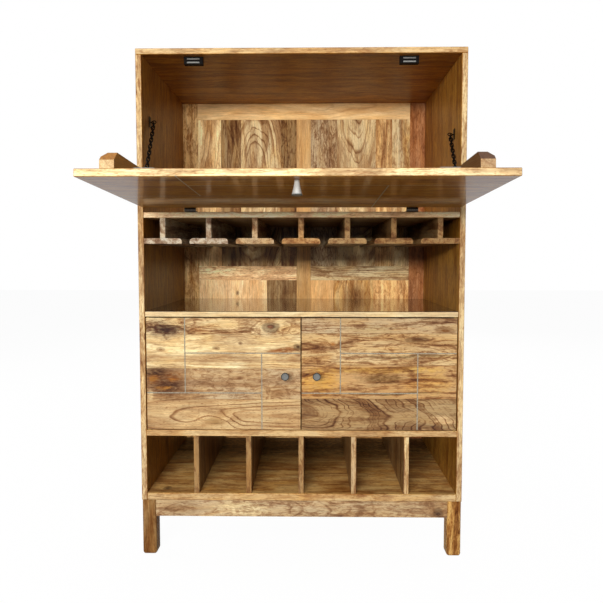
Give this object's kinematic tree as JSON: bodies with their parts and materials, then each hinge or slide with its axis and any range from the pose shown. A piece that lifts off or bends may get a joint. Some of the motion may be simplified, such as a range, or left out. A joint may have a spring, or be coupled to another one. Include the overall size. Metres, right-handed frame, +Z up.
{
  "type": "bar cabinet",
  "caption": "Free-standing wooden bar cabinet with a drop-down flap on stay chains, stemware rack, serving bay, inset doors with metal inlay lines and bottle cells on a legged base.",
  "frame": {"origin": "on the floor, at the middle of the space the cabinet takes up with its flap open", "axes": "+X to the right seen from the front, +Y from the front towards the back, +Z up"},
  "size_m": [0.9, 0.8846, 1.408],
  "materials": {
    "mango_wood": "satin lacquer",
    "pewter_inlay": "satin",
    "knob_metal": "antiqued satin",
    "black_iron": "black",
    "bright_steel": "zinc plated",
    "black_plastic": "moulded",
    "brass": "turned"
  },
  "bodies": {
    "carcass": {"left_side": "mango_wood", "right_side": "mango_wood", "top_panel": "mango_wood", "bottom_board": "mango_wood", "lower_shelf": "mango_wood", "middle_shelf": "mango_wood", "rack_deck": "mango_wood", "back_frame": "mango_wood", "back_upper_staves": "mango_wood", "back_lower_staves": "mango_wood", "glass_hanger_1": "mango_wood", "glass_hanger_2": "mango_wood", "glass_hanger_3": "mango_wood", "glass_hanger_4": "mango_wood", "glass_hanger_5": "mango_wood", "glass_hanger_6": "mango_wood", "glass_hanger_7": "mango_wood", "bottle_divider_1": "mango_wood", "bottle_divider_2": "mango_wood", "bottle_divider_3": "mango_wood", "bottle_divider_4": "mango_wood", "bottle_divider_5": "mango_wood", "front_left_leg": "mango_wood", "front_right_leg": "mango_wood", "back_left_leg": "mango_wood", "back_right_leg": "mango_wood", "front_apron": "mango_wood", "back_apron": "mango_wood", "left_apron": "mango_wood", "right_apron": "mango_wood", "base_glue_blocks": "mango_wood", "catch_housings": "black_plastic", "catch_plates": "bright_steel", "deck_hinge_leaves": "black_iron", "deck_hinge_screws": "black_iron", "flap_hinge_pins": "black_iron", "door_pivot_bushes": "brass", "stay_side_eyes": "black_iron", "left_stay_chain": "black_iron", "right_stay_chain": "black_iron"},
    "flap": {"flap_panel": "mango_wood", "left_batten": "mango_wood", "right_batten": "mango_wood", "flap_inlay": "pewter_inlay", "flap_knob": "knob_metal", "flap_strikes": "bright_steel", "flap_hinge_leaves": "black_iron", "flap_hinge_screws": "black_iron", "stay_flap_eyes": "black_iron"},
    "left_door": {"left_door_panel": "mango_wood", "left_door_inlay": "pewter_inlay", "left_door_knob": "knob_metal", "left_door_pivots": "bright_steel", "left_door_strike": "bright_steel"},
    "right_door": {"right_door_panel": "mango_wood", "right_door_inlay": "pewter_inlay", "right_door_knob": "knob_metal", "right_door_pivots": "bright_steel", "right_door_strike": "bright_steel"}
  },
  "joints": [
    {"name": "flap_hinge", "type": "hinge", "parent": "carcass", "child": "flap", "pos_m": [0, -0.02775, 0.9727], "axis": [-1, 0, 0], "range_deg": [0, 87.2], "deforming": ["left_stay_chain", "right_stay_chain"]},
    {"name": "left_door_hinge", "type": "hinge", "parent": "carcass", "child": "left_door", "pos_m": [-0.4265, -0.01775, 0.5175], "axis": [0, 0, -1], "range_deg": [0, 105]},
    {"name": "right_door_hinge", "type": "hinge", "parent": "carcass", "child": "right_door", "pos_m": [0.4265, -0.01775, 0.5175], "axis": [0, 0, 1], "range_deg": [0, 105]}
  ]
}
